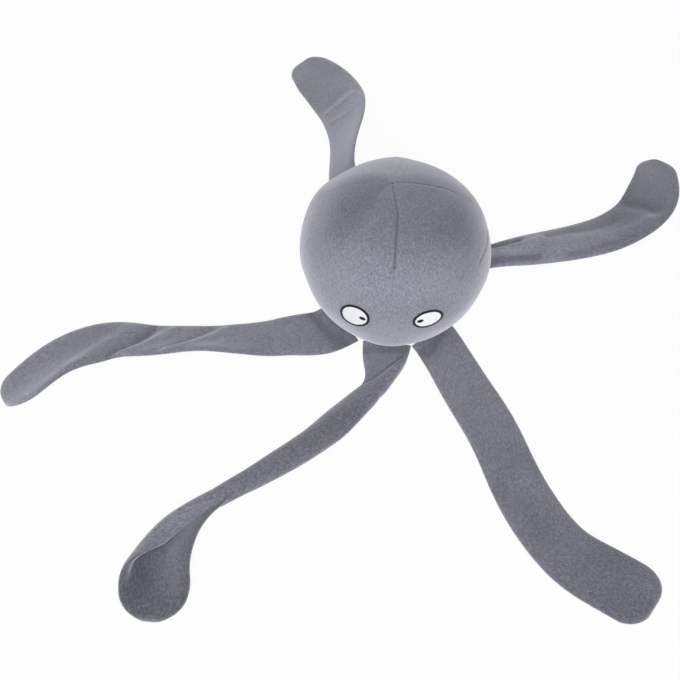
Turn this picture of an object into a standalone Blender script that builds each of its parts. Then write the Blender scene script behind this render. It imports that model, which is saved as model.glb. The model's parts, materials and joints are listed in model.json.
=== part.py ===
"""Plush octopus: a stuffed fleece head on a flat base panel, and five limp arms caught in its base seam.

Metres, +Z up. The origin is on the floor under the middle of the base panel, and the face looks
towards -Y. Left and right are those of someone who faces the toy. Headings are degrees
counter-clockwise from +X, seen from above.
"""
import bpy
import bmesh
from collections import namedtuple
from math import asin, ceil, cos, degrees, pi, radians, sin, sqrt
from mathutils import Vector

# Fabric
FLEECE = 0.0022
FABRIC_GAP = 0.0003

# Head: a slightly squashed ball that is flat where it stands
HEAD_RADIUS = 0.070
HEAD_HALF_HEIGHT = 0.0645
BASE_FLAT_RADIUS = 0.037
BASE_SEAM_HEIGHT = 0.0065
FACE_HEADING = 266
FRONT_PANEL_SPAN = 203

# Seams and darts of the head
SEAM_DIP = 0.0007
DART_DIP = 0.0010
DART_HALF_WIDTH = 0.0036
CROWN_DART_TURN = -0.5
CROWN_DART_END = 38
SIDE_DART_LEVEL = 22
SIDE_DART_SPAN = 40

# Embroidered eyes
EYE_STITCH_HEIGHT = 0.0007
EYE_RIM_WIDTH = 0.0017
PUPIL_STITCH_HEIGHT = 0.0005
PUPIL_HALF_LENGTH = 0.0024
PUPIL_HALF_HEIGHT = 0.0015

# Arms: two layers of fleece, sewn round the edge and turned
ARM_LENGTH = 0.262
ARM_THICKNESS = 0.0055
ARM_ROOT_WIDTH = 0.032
ARM_NECK_WIDTH = 0.0365
ARM_PADDLE_WIDTH = 0.047
ARM_TIP_RADIUS = 0.018
ARM_ROOT_THICKNESS = 0.0026
ARM_LAYER_GAP = 0.0007
ARM_SETTLE_LENGTH = 0.022

# How finely the solids are faceted
HEAD_STEP = 14
BASE_STEPS = 24
STUFFING_ROWS = 7
EYE_STEPS = 14
RING_TURN = 28
RING_CLEARANCE = 0.003
SHARP_TURN = 50
FLAT_CURL = 1
CENTRELINE_STEP = 0.002

FLEECE_GREY = (0.20, 0.205, 0.235)
STUFFING_WHITE = (0.85, 0.85, 0.83)
THREAD_WHITE = (0.88, 0.89, 0.92)
THREAD_BLACK = (0.012, 0.012, 0.02)

head_centre_height = HEAD_HALF_HEIGHT * sqrt(1 - (BASE_FLAT_RADIUS / HEAD_RADIUS) ** 2)
base_seam_level = -degrees(asin((head_centre_height - BASE_SEAM_HEIGHT) / HEAD_HALF_HEIGHT))
half_gap_turn = degrees(FABRIC_GAP / 2 / HEAD_RADIUS)

Eye = namedtuple("Eye", "heading level half_length half_height tilt pupil_across pupil_up")
EYES = {
    "left_eye": Eye(244.2, 1.8, 0.0108, 0.0095, 45, 0.0062, 0.0009),
    "right_eye": Eye(286.4, 3.2, 0.0102, 0.0079, 6, -0.0055, 0),
}

# Each arm lies its own way. Stations are shares of its length from the base seam. At each station
# come its heading on the floor, its roll (left side up, as seen from the root) and the curl up of
# its left and right half, all in degrees.
Arm = namedtuple("Arm", "seam_heading stretch_share bend_share station_shares "
                        "headings rolls left_curls right_curls")
ARMS = {
    "front_right_arm": Arm(
        seam_heading=307, stretch_share=0.975, bend_share=0.46,
        station_shares=(0, 0.1, 0.28, 0.45, 0.6, 0.72, 0.84, 1),
        headings=(307, 291, 293, 287, 292, 308, 325, 337),
        rolls=(0, 0, 0, 0, 0, 0, 0, 0),
        left_curls=(0, 0, 0, 0, 0, 5, 0, 0),
        right_curls=(0, 0, 0, 0, 0, 5, 0, 0)),
    "right_arm": Arm(
        seam_heading=31, stretch_share=0.943, bend_share=0.5,
        station_shares=(0, 0.12, 0.3, 0.5, 0.65, 0.8, 0.92, 1),
        headings=(31, 19, 15, 16, 34, 59, 78, 91),
        rolls=(0, 0, 0, 0, 0, 0, 0, 0),
        left_curls=(0, -95, -55, 0, 18, 35, 35, 35),
        right_curls=(0, -95, -55, 0, 18, 35, 35, 35)),
    "back_arm": Arm(
        seam_heading=106, stretch_share=0.987, bend_share=0.5,
        station_shares=(0, 0.12, 0.26, 0.38, 0.5, 0.64, 0.76, 0.88, 1),
        headings=(106, 112, 105, 90, 87, 96, 109, 119, 133),
        rolls=(0, -20, -45, -52, -47, -28, -8, 0, 0),
        left_curls=(0, 0, 20, 20, 0, 0, 0, 0, 0),
        right_curls=(0, 0, 20, 20, 0, 0, 0, 0, 0)),
    "left_arm": Arm(
        seam_heading=215, stretch_share=1.008, bend_share=0.2,
        station_shares=(0, 0.1, 0.2, 0.3, 0.4, 0.5, 0.6, 0.7, 0.85, 1),
        headings=(215, 188, 191, 185, 182, 180, 174, 200, 225, 246),
        rolls=(0, 0, 0, 13, 20, 16, 12, 9, 14, 14),
        left_curls=(0, 0, 0, 15, 25, 25, 15, 5, 25, 25),
        right_curls=(0, 0, 0, 15, 25, 25, 15, 5, 25, 25)),
    "front_left_arm": Arm(
        seam_heading=263, stretch_share=1.09, bend_share=0.095,
        station_shares=(0, 0.095, 0.125, 0.165, 0.21, 0.3, 0.45, 0.6, 0.72, 0.84, 1),
        headings=(263, 257, 256, 249, 239, 217, 212, 207, 219, 260, 285),
        rolls=(0, 0, 10, 50, 95, 140, 180, 230, 290, 345, 360),
        left_curls=(0, 0, 40, 90, 120, 140, 155, 155, 130, 20, 5),
        right_curls=(0, 0, 40, 80, 115, 135, 155, 155, 175, 140, 60)),
}

# Half width of an arm along its length, and the loft of its two panels across it
WIDTH_STATION_SHARES = (0, 0.14, 0.5, 0.7, 0.83, 1)
PADDLE_BLEND_SHARES = (0, 0, 0.06, 0.4, 1, 1)
ACROSS_SHARES = (-1, -0.66, -0.24, 0.24, 0.66, 1)
LOFT_SHARES = {"top": (0.2, 0.82, 1, 1, 0.82, 0.2), "bottom": (0.2, 0.95, 1, 1, 0.95, 0.2)}
PANEL_SIDES = {"top": 1, "bottom": -1}
NOSE_RING_SHARES = (0.15, 1)
TIP_RING_SHARES = (1, 0.5, 0.13, 0)
TIP_EDGE_SHARE = 0.3
THIN_GAP_SHARE = 0.5


def clear_scene():
    for old in list(bpy.data.objects):
        bpy.data.objects.remove(old, do_unlink=True)


def add_material(name, colour, roughness):
    material = bpy.data.materials.new(name)
    material.use_nodes = True
    shader = material.node_tree.nodes["Principled BSDF"]
    shader.inputs["Base Color"].default_value = (*colour, 1)
    shader.inputs["Roughness"].default_value = roughness
    material.diffuse_color = (*colour, 1)
    return material


def add_piece(name, form, material):
    """Finish a closed form as an object: faces outwards, shaded smooth but for its edges."""
    bmesh.ops.recalc_face_normals(form, faces=form.faces[:])
    mesh = bpy.data.meshes.new(name)
    form.to_mesh(mesh)
    form.free()
    mesh.shade_smooth()
    mesh.set_sharp_from_angle(angle=radians(SHARP_TURN))
    mesh.materials.append(material)
    piece = bpy.data.objects.new(name, mesh)
    bpy.context.collection.objects.link(piece)
    return piece


def join_rings(form, rings):
    """Skin closed rings of vertices in order."""
    for ring, following in zip(rings, rings[1:]):
        for place in range(len(ring)):
            beside = (place + 1) % len(ring)
            form.faces.new((ring[place], ring[beside], following[beside], following[place]))


def ball_profile(stand_off, level):
    """Radius and height of the head's outline at a level above its equator, set off outwards."""
    across = (HEAD_RADIUS + stand_off) * cos(radians(level))
    up = (HEAD_HALF_HEIGHT + stand_off) * sin(radians(level))
    return across, head_centre_height + up


def ball_point(stand_off, heading, level):
    """Point over the head's surface, at a heading and a level above its equator."""
    across, up = ball_profile(stand_off, level)
    return Vector((across * cos(radians(heading)), across * sin(radians(heading)), up))


def level_at(stand_off, height):
    """Level at which the head's lower outline, set off outwards, is at a height over the floor."""
    return -degrees(asin((head_centre_height - height) / (HEAD_HALF_HEIGHT + stand_off)))


def dart_dip(turn, level, panel_turn):
    """How far a dart draws the fabric in at a turn from the panel's middle and a level."""
    dip = 0
    along_crown = cos(radians(level)) * HEAD_RADIUS * abs(radians(turn - CROWN_DART_TURN))
    if level >= CROWN_DART_END:
        dip = max(dip, 1 - along_crown / DART_HALF_WIDTH)
    off_side = HEAD_RADIUS * abs(radians(level - SIDE_DART_LEVEL))
    if panel_turn - abs(turn) <= SIDE_DART_SPAN:
        dip = max(dip, 1 - off_side / DART_HALF_WIDTH)
    return DART_DIP * max(0, dip)


def head_levels():
    """Levels of the head's rings: even steps from the base seam to the crown, and three for the darts."""
    lowest = base_seam_level + half_gap_turn
    dart_reach = degrees(DART_HALF_WIDTH / HEAD_RADIUS)
    dart_levels = [SIDE_DART_LEVEL - dart_reach, SIDE_DART_LEVEL, SIDE_DART_LEVEL + dart_reach]
    below = ceil((dart_levels[0] - lowest) / HEAD_STEP)
    above = ceil((90 - dart_levels[-1]) / HEAD_STEP)
    low_levels = [lowest + (dart_levels[0] - lowest) * step / below for step in range(below)]
    high_levels = [dart_levels[-1] + (90 - dart_levels[-1]) * (step + 1) / above for step in range(above - 1)]
    return low_levels + dart_levels + high_levels


def head_turns(span):
    """Turns of a head panel's upright lines from its middle, with three close ones at the crown dart."""
    dart_reach = degrees(DART_HALF_WIDTH / HEAD_RADIUS) / cos(radians(CROWN_DART_END))
    half_span = span / 2
    dart_turns = [CROWN_DART_TURN - dart_reach, CROWN_DART_TURN, CROWN_DART_TURN + dart_reach]
    before = ceil((dart_turns[0] + half_span) / HEAD_STEP)
    after = ceil((half_span - dart_turns[-1]) / HEAD_STEP)
    left = [-half_span + (dart_turns[0] + half_span) * step / before for step in range(before)]
    right = [dart_turns[-1] + (half_span - dart_turns[-1]) * (step + 1) / after for step in range(after)]
    return left + dart_turns + right


def make_head_panel(name, middle_heading, span, material):
    """One of the two panels of the ball: a fleece shell, drawn in along its seams and darts."""
    form = bmesh.new()
    turns = head_turns(span)
    levels = head_levels()
    away = Vector((cos(radians(middle_heading)), sin(radians(middle_heading)), 0))
    seam_stand_off = away * (FABRIC_GAP / 2)

    def grid(stand_off, dips):
        rows = []
        for level in levels:
            row = []
            for turn in turns:
                edge_dip = SEAM_DIP if abs(turn) >= span / 2 else 0
                dip = max(edge_dip, dart_dip(turn, level, span / 2)) if dips else 0
                point = ball_point(stand_off - dip, middle_heading + turn, level) + seam_stand_off
                row.append(form.verts.new(point))
            rows.append(row)
        crown_dip = DART_DIP if dips else 0
        crown = form.verts.new(ball_point(stand_off - crown_dip, middle_heading, 90) + seam_stand_off)
        return rows, crown

    outer, outer_crown = grid(0, True)
    inner, inner_crown = grid(-FLEECE, False)
    for rows, crown in ((outer, outer_crown), (inner, inner_crown)):
        for row, above in zip(rows, rows[1:]):
            for place in range(len(turns) - 1):
                form.faces.new((row[place], row[place + 1], above[place + 1], above[place]))
        for place in range(len(turns) - 1):
            form.faces.new((rows[-1][place], rows[-1][place + 1], crown))
    for place in range(len(turns) - 1):
        form.faces.new((outer[0][place], outer[0][place + 1], inner[0][place + 1], inner[0][place]))
    for edge in (0, -1):
        outer_edge = [row[edge] for row in outer] + [outer_crown]
        inner_edge = [row[edge] for row in inner] + [inner_crown]
        for place in range(len(outer_edge) - 1):
            form.faces.new((outer_edge[place], outer_edge[place + 1], inner_edge[place + 1], inner_edge[place]))
    return add_piece(name, form, material)


def turned_form(profile, steps):
    """A closed form turned about the upright axis, from a profile that starts and ends on that axis."""
    form = bmesh.new()
    rings = []
    for radius, height in profile[1:-1]:
        ring = []
        for step in range(steps):
            angle = 2 * pi * step / steps
            ring.append(form.verts.new((radius * cos(angle), radius * sin(angle), height)))
        rings.append(ring)
    join_rings(form, rings)
    for (_, height), ring in ((profile[0], rings[0]), (profile[-1], rings[-1])):
        pole = form.verts.new((0, 0, height))
        for place in range(steps):
            form.faces.new((pole, ring[place], ring[(place + 1) % steps]))
    return form


def make_base_panel(material):
    """The base: a fleece disc on the floor whose edge turns up along the ball to the base seam."""
    top_level = base_seam_level - half_gap_turn
    floor_level = level_at(0, 0)
    inner_floor_level = level_at(-FLEECE, FLEECE)
    profile = [(0, 0), (BASE_FLAT_RADIUS, 0)]
    profile.append(ball_profile(0, (floor_level + top_level) / 2))
    profile.append(ball_profile(0, top_level))
    profile.append(ball_profile(-FLEECE, top_level))
    profile.append(ball_profile(-FLEECE, (inner_floor_level + top_level) / 2))
    profile.append(ball_profile(-FLEECE, inner_floor_level))
    profile.append((0, FLEECE))
    return add_piece("base_panel", turned_form(profile, BASE_STEPS), material)


def make_stuffing(material):
    """The loose fibre fill, pressed to the shape of the cover that holds it."""
    facet_dip = HEAD_RADIUS * (1 - cos(radians(HEAD_STEP / 2)) ** 2)
    stand_off = -(FLEECE + facet_dip + FABRIC_GAP)
    floor = FLEECE + FABRIC_GAP
    lowest = level_at(stand_off, floor)
    profile = [(0, floor)]
    for row in range(STUFFING_ROWS):
        profile.append(ball_profile(stand_off, lowest + (90 - lowest) * row / STUFFING_ROWS))
    profile.append(ball_profile(stand_off, 90))
    return add_piece("stuffing", turned_form(profile, BASE_STEPS), material)


def stitched_point(eye, stand_off, across, up):
    """Point over the head's surface, at a distance across and up from an eye's middle."""
    level = eye.level + degrees(up / HEAD_RADIUS)
    heading = eye.heading + degrees(across / (HEAD_RADIUS * cos(radians(eye.level))))
    return ball_point(stand_off, heading, level)


def oval_ring(form, eye, stand_off, half_length, half_height, centre=(0, 0)):
    """A ring of vertices along an oval with the eye's tilt, set off from the head's surface."""
    ring = []
    tilt = radians(eye.tilt)
    for step in range(EYE_STEPS):
        angle = 2 * pi * step / EYE_STEPS
        along, aside = half_length * cos(angle), half_height * sin(angle)
        across = centre[0] + along * cos(tilt) - aside * sin(tilt)
        up = centre[1] + along * sin(tilt) + aside * cos(tilt)
        ring.append(form.verts.new(stitched_point(eye, stand_off, across, up)))
    return ring


def make_oval_patch(name, eye, low, high, half_length, half_height, centre, material):
    """A patch of filling stitches: an oval plate that follows the head's curve."""
    form = bmesh.new()
    rings = [oval_ring(form, eye, low, half_length / 2, half_height / 2, centre),
             oval_ring(form, eye, low, half_length, half_height, centre),
             oval_ring(form, eye, high, half_length, half_height, centre),
             oval_ring(form, eye, high, half_length / 2, half_height / 2, centre)]
    join_rings(form, rings)
    for stand_off, ring in ((low, rings[0]), (high, rings[-1])):
        middle = form.verts.new(stitched_point(eye, stand_off, *centre))
        for place in range(EYE_STEPS):
            form.faces.new((middle, ring[place], ring[(place + 1) % EYE_STEPS]))
    return add_piece(name, form, material)


def make_eye(side, eye, white, black):
    """White filling stitches, a raised black satin-stitch rim round them and a black pupil on them."""
    low = FABRIC_GAP
    high = FABRIC_GAP + EYE_STITCH_HEIGHT
    inner_length = eye.half_length - EYE_RIM_WIDTH / 2
    inner_height = eye.half_height - EYE_RIM_WIDTH / 2
    make_oval_patch(side + "_white", eye, low, high, inner_length - FABRIC_GAP, inner_height - FABRIC_GAP,
                    (0, 0), white)
    form = bmesh.new()
    outer_length, outer_height = inner_length + EYE_RIM_WIDTH, inner_height + EYE_RIM_WIDTH
    rings = [oval_ring(form, eye, low, inner_length, inner_height),
             oval_ring(form, eye, high, inner_length, inner_height),
             oval_ring(form, eye, high, outer_length, outer_height),
             oval_ring(form, eye, low, outer_length, outer_height)]
    join_rings(form, rings + rings[:1])
    add_piece(side + "_rim", form, black)
    pupil_low = high + FABRIC_GAP
    make_oval_patch(side + "_pupil", eye, pupil_low, pupil_low + PUPIL_STITCH_HEIGHT, PUPIL_HALF_LENGTH,
                    PUPIL_HALF_HEIGHT, (eye.pupil_across, eye.pupil_up), black)


def read_along(stations, values, share):
    """Value at a share of the length, on a smooth curve through the values at the stations."""
    last = len(stations) - 1
    place = max(spot for spot in range(last) if stations[spot] <= share or spot == 0)

    def slope(spot):
        before, after = max(0, spot - 1), min(last, spot + 1)
        return (values[after] - values[before]) / (stations[after] - stations[before])

    step = stations[place + 1] - stations[place]
    k = (share - stations[place]) / step
    rise = values[place] * (1 + 2 * k) * (1 - k) ** 2 + values[place + 1] * k * k * (3 - 2 * k)
    return rise + step * (slope(place) * k * (1 - k) ** 2 - slope(place + 1) * k * k * (1 - k))


def seam_point(heading):
    """Where an arm's root hinges: just outside the base seam at a heading."""
    seat = ARM_ROOT_THICKNESS / 2 + FABRIC_GAP
    return ball_point(seat, heading, base_seam_level)


class LaidArm:
    """An arm as it lies: its line on the floor, and the closed rings that its panels are skinned on."""

    def __init__(self, arm):
        self.arm = arm
        self.length = ARM_LENGTH * arm.stretch_share
        self.bend_distance = self.length * arm.bend_share
        steps = ceil(self.length / CENTRELINE_STEP)
        self.step = self.length / steps
        self.line = [seam_point(arm.seam_heading)]
        for number in range(steps):
            heading = radians(self.reading(arm.headings, (number + 0.5) * self.step))
            self.line.append(self.line[-1] + Vector((cos(heading), sin(heading), 0)) * self.step)

    def reading(self, values, distance):
        return read_along(self.arm.station_shares, values, distance / self.length)

    def place(self, distance):
        number = min(int(distance / self.step), len(self.line) - 2)
        return self.line[number].lerp(self.line[number + 1], distance / self.step - number)

    def heading(self, distance):
        return radians(self.reading(self.arm.headings, distance))

    def half_width(self, distance):
        paddle = read_along(WIDTH_STATION_SHARES, PADDLE_BLEND_SHARES, distance / self.length)
        width = ARM_NECK_WIDTH + (ARM_PADDLE_WIDTH - ARM_NECK_WIDTH) * paddle
        settled = min(1, distance / ARM_SETTLE_LENGTH)
        width = ARM_ROOT_WIDTH + (width - ARM_ROOT_WIDTH) * settled
        short_of_round = max(0, ARM_TIP_RADIUS - (self.length - distance))
        return width / 2 - ARM_TIP_RADIUS + sqrt(ARM_TIP_RADIUS ** 2 - short_of_round ** 2)

    def half_thickness(self, distance):
        settled = min(1, distance / ARM_SETTLE_LENGTH)
        thickness = ARM_ROOT_THICKNESS + (ARM_THICKNESS - ARM_ROOT_THICKNESS) * settled
        left = min(1, (self.length - distance) / (ARM_THICKNESS / 2))
        return thickness / 2 * (TIP_EDGE_SHARE + (1 - TIP_EDGE_SHARE) * sqrt(left))

    def section(self, distance, panel, thin_share=1):
        """Outer and inner points of a panel across the arm, as pairs: to the left, and up."""
        roll = radians(self.reading(self.arm.rolls, distance))
        half_width = self.half_width(distance)
        rows = []
        for share, loft in zip(ACROSS_SHARES, LOFT_SHARES[panel]):
            curls = self.arm.left_curls if share > 0 else self.arm.right_curls
            curl = radians(self.reading(curls, distance))
            slope = roll + curl * share
            if abs(curl) < radians(FLAT_CURL):
                left, up = share * cos(roll), share * sin(roll)
            else:
                left, up = (sin(slope) - sin(roll)) / curl, (cos(roll) - cos(slope)) / curl
            outer = self.half_thickness(distance) * loft * thin_share
            for offset in (outer, min(ARM_LAYER_GAP / 2, outer * THIN_GAP_SHARE)):
                reach = PANEL_SIDES[panel] * offset
                rows.append((left * half_width - sin(slope) * reach, up * half_width + cos(slope) * reach))
        return rows[0::2], rows[1::2]

    def height(self, distance):
        """Height of the arm's line: at the seam by the root, and then where its lowest point rests."""
        lowest = min(up for panel in PANEL_SIDES for face in self.section(distance, panel) for _, up in face)
        settled = min(1, distance / ARM_SETTLE_LENGTH)
        settled = settled * settled * (3 - 2 * settled)
        root_height = seam_point(self.arm.seam_heading).z
        return root_height + (-lowest - root_height) * settled

    def ring(self, form, distance, panel, hinge_distance=None, thin_share=1):
        """A ring round one panel. By a hinge it takes the hinge's own place and heading."""
        held = distance if hinge_distance is None else hinge_distance
        heading = self.heading(held)
        ahead = Vector((cos(heading), sin(heading), 0))
        aside = Vector((-sin(heading), cos(heading), 0))
        middle = self.place(held) + ahead * (distance - held)
        middle.z = self.height(held)
        outer, inner = self.section(held, panel, thin_share)
        points = list(outer) + list(reversed(inner))
        return [form.verts.new(middle + aside * left + Vector((0, 0, up))) for left, up in points]

    def skin(self, name, rings, form, material):
        """Close the rings of a panel into one body, with both its faces cut along the same diagonals."""
        across = len(ACROSS_SHARES)
        for ring, following in zip(rings, rings[1:]):
            for place in range(len(ring)):
                beside = (place + 1) % len(ring)
                if place < across:
                    form.faces.new((ring[place], ring[beside], following[beside]))
                    form.faces.new((ring[place], following[beside], following[place]))
                else:
                    form.faces.new((ring[place], ring[beside], following[place]))
                    form.faces.new((ring[beside], following[beside], following[place]))
        for ring in (rings[0], rings[-1]):
            inner = list(reversed(ring[across:]))
            for place in range(across - 1):
                form.faces.new((ring[place], ring[place + 1], inner[place + 1], inner[place]))
        return add_piece(name, form, material)

    def ring_distances(self, start, end):
        """Where rings go after a start, up to an end: closest where the arm turns or curls fastest."""
        stations = [share * self.length for share in self.arm.station_shares]
        stops = [stop for stop in stations if start + RING_CLEARANCE < stop < end - RING_CLEARANCE]
        distances = []
        for before, after in zip([start] + stops, stops + [end]):
            turn = 0
            for values in (self.arm.headings, self.arm.headings, self.arm.rolls, self.arm.left_curls):
                turn += abs(self.reading(values, after) - self.reading(values, before))
            count = max(1, ceil(turn / RING_TURN))
            distances += [before + (after - before) * (number + 1) / count for number in range(count)]
        return distances

    def hinged_end(self, form, panel, distance, radius):
        """Two rings of a round nose that turns on a hinge at a distance along the arm."""
        rings = []
        for share in NOSE_RING_SHARES:
            back = radius * (1 - share)
            thin_share = sqrt(radius ** 2 - back ** 2) / radius
            rings.append(self.ring(form, distance - back, panel, distance, thin_share))
        return rings

    def make_root_half(self, name, panel, material):
        """From the base seam to just short of the bend."""
        form = bmesh.new()
        end = self.bend_distance - ARM_THICKNESS / 2 - FABRIC_GAP
        rings = self.hinged_end(form, panel, 0, ARM_ROOT_THICKNESS / 2)
        rings += [self.ring(form, distance, panel) for distance in self.ring_distances(0, end)[:-1]]
        rings.append(self.ring(form, end, panel, self.bend_distance))
        self.skin(name, rings, form, material)

    def make_end_half(self, name, panel, material):
        """From the bend to the round tip."""
        form = bmesh.new()
        rings = self.hinged_end(form, panel, self.bend_distance, ARM_THICKNESS / 2)
        for distance in self.ring_distances(self.bend_distance, self.length - ARM_TIP_RADIUS)[:-1]:
            rings.append(self.ring(form, distance, panel))
        for share in TIP_RING_SHARES:
            rings.append(self.ring(form, self.length - ARM_TIP_RADIUS * share, panel))
        self.skin(name, rings, form, material)


def make_arm(name, arm, material):
    laid = LaidArm(arm)
    for panel in PANEL_SIDES:
        laid.make_root_half(f"{name}_root_{panel}", panel, material)
        laid.make_end_half(f"{name}_end_{panel}", panel, material)
    bend = laid.place(laid.bend_distance)
    root = laid.line[0]
    print(f"{name}: root hinge {tuple(round(v, 5) for v in root)} heading {arm.seam_heading}, bend at "
          f"({bend.x:.5f}, {bend.y:.5f}, {laid.height(laid.bend_distance):.5f}) "
          f"heading {degrees(laid.heading(laid.bend_distance)):.2f} "
          f"roll {laid.reading(arm.rolls, laid.bend_distance):.1f}")


clear_scene()
fleece = add_material("grey_fleece", FLEECE_GREY, 0.95)
fill = add_material("fibre_fill", STUFFING_WHITE, 0.95)
white_thread = add_material("white_thread", THREAD_WHITE, 0.5)
black_thread = add_material("black_thread", THREAD_BLACK, 0.45)

make_head_panel("head_front_panel", FACE_HEADING, FRONT_PANEL_SPAN, fleece)
make_head_panel("head_back_panel", FACE_HEADING + 180, 360 - FRONT_PANEL_SPAN, fleece)
make_base_panel(fleece)
make_stuffing(fill)
for side, eye in EYES.items():
    make_eye(side, eye, white_thread, black_thread)
for arm_name, arm in ARMS.items():
    make_arm(arm_name, arm, fleece)
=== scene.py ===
"""A grey fleece octopus: a stuffed ball of a head with two embroidered eyes, and five flat limp arms."""
import json
from collections import namedtuple
from math import asin, atan2, ceil, cos, degrees, exp, hypot, pi, radians, sin, sqrt

import bmesh
import bpy
import numpy as np
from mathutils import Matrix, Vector, noise


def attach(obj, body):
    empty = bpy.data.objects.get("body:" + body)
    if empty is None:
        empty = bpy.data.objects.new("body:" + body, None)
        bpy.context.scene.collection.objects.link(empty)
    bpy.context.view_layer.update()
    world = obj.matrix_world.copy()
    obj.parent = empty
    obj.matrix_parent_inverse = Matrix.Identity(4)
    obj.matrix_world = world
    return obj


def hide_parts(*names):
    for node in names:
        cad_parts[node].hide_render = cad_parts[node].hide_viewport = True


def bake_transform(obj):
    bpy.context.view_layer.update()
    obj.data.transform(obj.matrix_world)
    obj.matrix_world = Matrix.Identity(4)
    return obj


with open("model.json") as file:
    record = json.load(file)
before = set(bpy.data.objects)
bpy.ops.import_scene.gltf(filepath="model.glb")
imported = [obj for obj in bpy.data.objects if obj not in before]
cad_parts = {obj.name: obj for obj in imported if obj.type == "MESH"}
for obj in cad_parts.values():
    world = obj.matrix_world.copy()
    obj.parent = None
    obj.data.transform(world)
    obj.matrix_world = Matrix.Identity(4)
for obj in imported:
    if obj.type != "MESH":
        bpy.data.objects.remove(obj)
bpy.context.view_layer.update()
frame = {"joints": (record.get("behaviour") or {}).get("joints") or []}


# ---------------------------------------------------------------------------------------------
# The table that the toy lies on: a white lacquered board that runs up into a white wall far
# behind it. It looks white to the eye, and keeps a soft shadow where the toy rests on it.
# ---------------------------------------------------------------------------------------------
TABLE_COLOUR = "F4F4F4"
TABLE_HALF_WIDTH = 3.0
TABLE_TOP = -0.0007
WALL_HEIGHT = 3.0
WHITENESS_SHARE = 0.94


def hex_colour(code):
    """A colour written as sRGB hex, in the linear values that the shaders take."""
    values = [int(code[place:place + 2], 16) / 255 for place in (0, 2, 4)]
    return tuple(v / 12.92 if v <= 0.04045 else ((v + 0.055) / 1.055) ** 2.4 for v in values) + (1,)


def add_node(tree, kind, settings=None, links=None):
    """Add a node with its settings, and fill its inputs with plain values or with other outputs."""
    node = tree.nodes.new(kind)
    for name, value in (settings or {}).items():
        setattr(node, name, value)
    for name, source in (links or {}).items():
        if isinstance(source, bpy.types.NodeSocket):
            tree.links.new(source, node.inputs[name])
        else:
            node.inputs[name].default_value = source
    return node


def blank_tree(owner):
    """Node tree of a material or a world, emptied of what it starts with."""
    owner.use_nodes = True
    owner.node_tree.nodes.clear()
    return owner.node_tree


def seen_directly(tree):
    """1 for rays that come straight from the camera, or by a reflection or through glass."""
    path = add_node(tree, "ShaderNodeLightPath")
    straight = add_node(tree, "ShaderNodeMath", {"operation": "ADD", "use_clamp": True},
                        {0: path.outputs["Is Camera Ray"], 1: path.outputs["Is Glossy Ray"]})
    return add_node(tree, "ShaderNodeMath", {"operation": "ADD", "use_clamp": True},
                    {0: straight.outputs[0], 1: path.outputs["Is Transmission Ray"]}).outputs[0]


def make_table():
    """White lacquered board: matt, and so bright that only the shadows show on it."""
    material = bpy.data.materials.new("white_lacquered_board")
    tree = blank_tree(material)
    lacquer = add_node(tree, "ShaderNodeBsdfDiffuse", {}, {"Color": hex_colour(TABLE_COLOUR)})
    glow = add_node(tree, "ShaderNodeEmission", {}, {"Color": (1, 1, 1, 1), "Strength": 1})
    share = add_node(tree, "ShaderNodeMath", {"operation": "MULTIPLY"},
                     {0: seen_directly(tree), 1: WHITENESS_SHARE})
    mixed = add_node(tree, "ShaderNodeMixShader", {},
                     {0: share.outputs[0], 1: lacquer.outputs[0], 2: glow.outputs[0]})
    add_node(tree, "ShaderNodeOutputMaterial", {}, {"Surface": mixed.outputs[0]})
    edge = TABLE_HALF_WIDTH
    corners = [(-edge, -edge, TABLE_TOP), (edge, -edge, TABLE_TOP), (edge, edge, TABLE_TOP),
               (-edge, edge, TABLE_TOP), (edge, edge, WALL_HEIGHT), (-edge, edge, WALL_HEIGHT)]
    for name, faces in (("table_top", [(0, 1, 2, 3)]), ("white_wall", [(3, 2, 4, 5)])):
        mesh = bpy.data.meshes.new(name)
        mesh.from_pydata(corners, [], faces)
        mesh.materials.append(material)
        stage = bpy.data.objects.new(name, mesh)
        bpy.context.collection.objects.link(stage)


make_table()


# ---------------------------------------------------------------------------------------------
# Studio light and camera: white daylight from all round, a broad soft lamp above the camera, a
# weaker one low in front and one on the left. The camera looks down at the face from in front.
# ---------------------------------------------------------------------------------------------
CAMERA_PLACE = (-0.0405, -0.5008, 0.5901)
CAMERA_TILT = 38
CAMERA_LENS = 52.94
DAYLIGHT = 0.35
Lamp = namedtuple("Lamp", "name place size power")
LAMPS = (
    Lamp("camera_side_lamp", (-0.05, -1.3, 1.3), 1.0, 19),
    Lamp("front_lamp", (-0.3, -1.7, 0.7), 1.4, 7),
    Lamp("left_lamp", (-1.7, -0.3, 0.8), 1.2, 5.4),
)


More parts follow.
